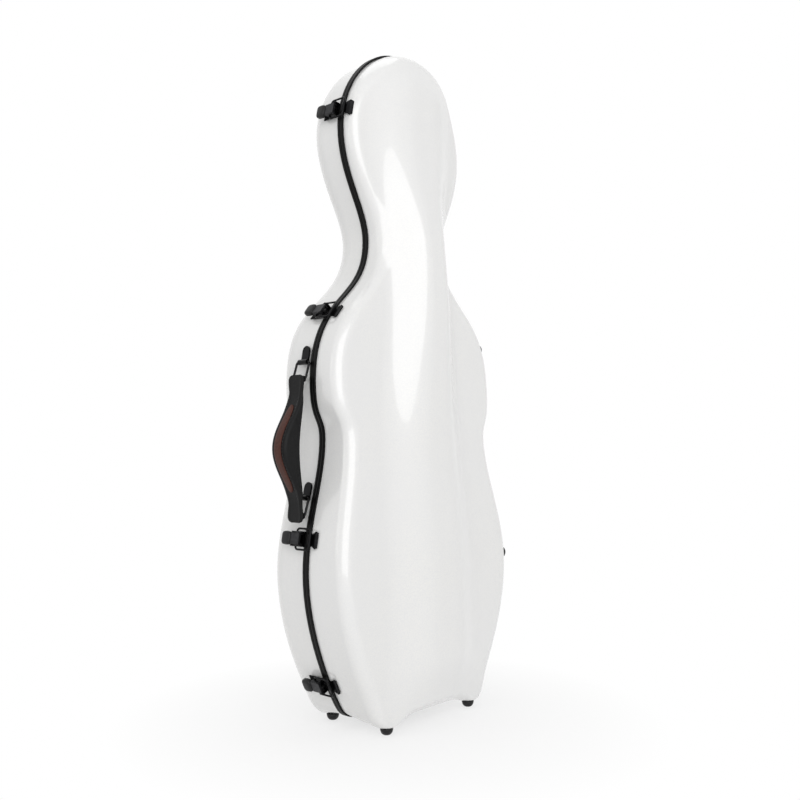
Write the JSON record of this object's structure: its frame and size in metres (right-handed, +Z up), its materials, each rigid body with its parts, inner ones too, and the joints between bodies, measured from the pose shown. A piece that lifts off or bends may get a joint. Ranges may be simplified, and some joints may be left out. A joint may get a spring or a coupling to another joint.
{
  "type": "viola case",
  "caption": "Glossy white cello-shaped hard case for a viola, with a hinged lid, draw latches, leather side handle, strap rings, rubber feet and a plush bed.",
  "frame": {"origin": "on the floor plane, below the middle of the bounding box", "axes": "+Z up along the case, -Y is the front of the lid, -X is the side with the latches and the handle"},
  "size_m": [0.3738, 0.1726, 0.8683],
  "materials": {
    "shell_gloss": "glossy pearl white gel coat",
    "edge_trim": "black extruded trim",
    "plush_lining": "short-pile plush on foam",
    "webbing": "woven black webbing",
    "black_rubber": "moulded rubber",
    "handle_leather": "black leather, edges painted",
    "inlay_leather": "brown leather inlay",
    "moulded_black": "moulded black plastic",
    "satin_steel": "satin black-nickel plate",
    "black_metal": "black plated steel"
  },
  "bodies": {
    "back": {"back_shell": "shell_gloss", "back_rim": "edge_trim", "back_lining": "plush_lining", "neck_rest": "plush_lining", "neck_strap": "webbing", "top_latch_base": "black_metal", "shoulder_latch_base": "black_metal", "lower_latch_base": "black_metal", "bottom_latch_base": "black_metal", "lower_hinge_back_leaf": "black_metal", "lower_hinge_pin": "satin_steel", "upper_hinge_back_leaf": "black_metal", "upper_hinge_pin": "satin_steel", "upper_handle_bracket": "black_metal", "lower_handle_bracket": "black_metal", "upper_strap_plate": "black_metal", "left_strap_plate": "black_metal", "right_strap_plate": "black_metal", "back_left_foot": "black_rubber", "back_right_foot": "black_rubber", "lower_back_side_foot": "black_rubber", "upper_back_side_foot": "black_rubber"},
    "lid": {"lid_shell": "shell_gloss", "lid_rim": "edge_trim", "lid_lining": "plush_lining", "bow_tip_loop": "webbing", "top_latch_catch": "black_metal", "shoulder_latch_catch": "black_metal", "lower_latch_catch": "black_metal", "bottom_latch_catch": "black_metal", "lower_hinge_lid_leaf": "black_metal", "upper_hinge_lid_leaf": "black_metal", "lid_left_foot": "black_rubber", "lid_right_foot": "black_rubber", "lower_lid_side_foot": "black_rubber", "upper_lid_side_foot": "black_rubber"},
    "accessory_board": {"accessory_lid": "plush_lining"},
    "left_clip": {"left_bow_clip": "moulded_black"},
    "right_clip": {"right_bow_clip": "moulded_black"},
    "upper_ring": {"upper_handle_ring": "black_metal"},
    "lower_ring": {"lower_handle_ring": "black_metal"},
    "grip": {"handle_grip": "handle_leather", "handle_inlay": "inlay_leather"},
    "top_lever": {"top_latch_lever": "satin_steel", "top_latch_cap": "black_rubber"},
    "top_bail": {"top_latch_bail": "black_metal"},
    "shoulder_lever": {"shoulder_latch_lever": "satin_steel", "shoulder_latch_cap": "black_rubber"},
    "shoulder_bail": {"shoulder_latch_bail": "black_metal"},
    "lower_lever": {"lower_latch_lever": "satin_steel", "lower_latch_cap": "black_rubber"},
    "lower_bail": {"lower_latch_bail": "black_metal"},
    "bottom_lever": {"bottom_latch_lever": "satin_steel", "bottom_latch_cap": "black_rubber"},
    "bottom_bail": {"bottom_latch_bail": "black_metal"},
    "upper_left_ring": {"upper_left_strap_ring": "black_metal"},
    "upper_right_ring": {"upper_right_strap_ring": "black_metal"},
    "lower_left_ring": {"lower_left_strap_ring": "black_metal"},
    "lower_right_ring": {"lower_right_strap_ring": "black_metal"}
  },
  "joints": [
    {"name": "lid_hinge", "type": "hinge", "parent": "back", "child": "lid", "pos_m": [0.1825, -0.0016, 0.196], "axis": [-0.0414, 0, 0.9991], "range_deg": [0, 110]},
    {"name": "top_lever_pivot", "type": "hinge", "parent": "back", "child": "top_lever", "pos_m": [-0.10024, 0.0074, 0.77019], "axis": [0.2042, 0, 0.9789], "range_deg": [0, 110]},
    {"name": "top_bail_pivot", "type": "hinge", "parent": "top_lever", "child": "top_bail", "pos_m": [-0.09975, 0.0136, 0.77009], "axis": [0.2042, 0, 0.9789], "range_deg": [-125, 0]},
    {"name": "shoulder_lever_pivot", "type": "hinge", "parent": "back", "child": "shoulder_lever", "pos_m": [-0.11729, 0.0074, 0.51274], "axis": [0.6427, 0, 0.7661], "range_deg": [0, 110]},
    {"name": "shoulder_bail_pivot", "type": "hinge", "parent": "shoulder_lever", "child": "shoulder_bail", "pos_m": [-0.1169, 0.0136, 0.51242], "axis": [0.6427, 0, 0.7661], "range_deg": [-125, 0]},
    {"name": "lower_lever_pivot", "type": "hinge", "parent": "back", "child": "lower_lever", "pos_m": [-0.15366, 0.0074, 0.23497], "axis": [0.1642, 0, 0.9864], "range_deg": [0, 110]},
    {"name": "lower_bail_pivot", "type": "hinge", "parent": "lower_lever", "child": "lower_bail", "pos_m": [-0.15316, 0.0136, 0.23488], "axis": [0.1642, 0, 0.9864], "range_deg": [-125, 0]},
    {"name": "bottom_lever_pivot", "type": "hinge", "parent": "back", "child": "bottom_lever", "pos_m": [-0.11832, 0.0074, 0.0558], "axis": [-0.4492, 0, 0.8934], "range_deg": [0, 110]},
    {"name": "bottom_bail_pivot", "type": "hinge", "parent": "bottom_lever", "child": "bottom_bail", "pos_m": [-0.11787, 0.0136, 0.05603], "axis": [-0.4492, 0, 0.8934], "range_deg": [-125, 0]},
    {"name": "upper_ring_pivot", "type": "hinge", "parent": "back", "child": "upper_ring", "pos_m": [-0.1456, 0.0114, 0.446], "axis": [0, 1, 0], "range_deg": [0, 85]},
    {"name": "lower_ring_pivot", "type": "hinge", "parent": "back", "child": "lower_ring", "pos_m": [-0.1456, 0.0114, 0.283], "axis": [0, 1, 0], "range_deg": [0, 85]},
    {"name": "grip_pivot", "type": "hinge", "parent": "upper_ring", "child": "grip", "pos_m": [-0.1521, 0.0114, 0.425], "axis": [0, 1, 0], "range_deg": [-85, 0]},
    {"name": "upper_left_ring_pivot", "type": "hinge", "parent": "back", "child": "upper_left_ring", "pos_m": [-0.0021, 0.07914, 0.554], "axis": [1, 0, 0], "range_deg": [0, 150]},
    {"name": "upper_right_ring_pivot", "type": "hinge", "parent": "back", "child": "upper_right_ring", "pos_m": [0.0279, 0.07914, 0.554], "axis": [1, 0, 0], "range_deg": [0, 150]},
    {"name": "lower_left_ring_pivot", "type": "hinge", "parent": "back", "child": "lower_left_ring", "pos_m": [-0.0791, 0.08396, 0.09], "axis": [1, 0, 0], "range_deg": [0, 150]},
    {"name": "lower_right_ring_pivot", "type": "hinge", "parent": "back", "child": "lower_right_ring", "pos_m": [0.1049, 0.08396, 0.09], "axis": [1, 0, 0], "range_deg": [0, 150]},
    {"name": "accessory_lid_hinge", "type": "hinge", "parent": "back", "child": "accessory_board", "pos_m": [0.0409, -0.0004, 0.514], "axis": [0, 0, -1], "range_deg": [0, 90]},
    {"name": "left_bow_clip_turn", "type": "hinge", "parent": "lid", "child": "left_clip", "pos_m": [-0.0131, -0.07196, 0.104], "axis": [0, 1, 0], "range_deg": [0, 90]},
    {"name": "right_bow_clip_turn", "type": "hinge", "parent": "lid", "child": "right_clip", "pos_m": [0.0389, -0.07196, 0.104], "axis": [0, 1, 0], "range_deg": [0, 90]}
  ],
  "couplings": [
    {"joint": "top_bail_pivot", "follows": "top_lever_pivot", "ratio": -1.1},
    {"joint": "shoulder_bail_pivot", "follows": "shoulder_lever_pivot", "ratio": -1.1},
    {"joint": "lower_bail_pivot", "follows": "lower_lever_pivot", "ratio": -1.1},
    {"joint": "bottom_bail_pivot", "follows": "bottom_lever_pivot", "ratio": -1.1},
    {"joint": "lower_ring_pivot", "follows": "upper_ring_pivot", "ratio": 1},
    {"joint": "grip_pivot", "follows": "upper_ring_pivot", "ratio": -1}
  ]
}
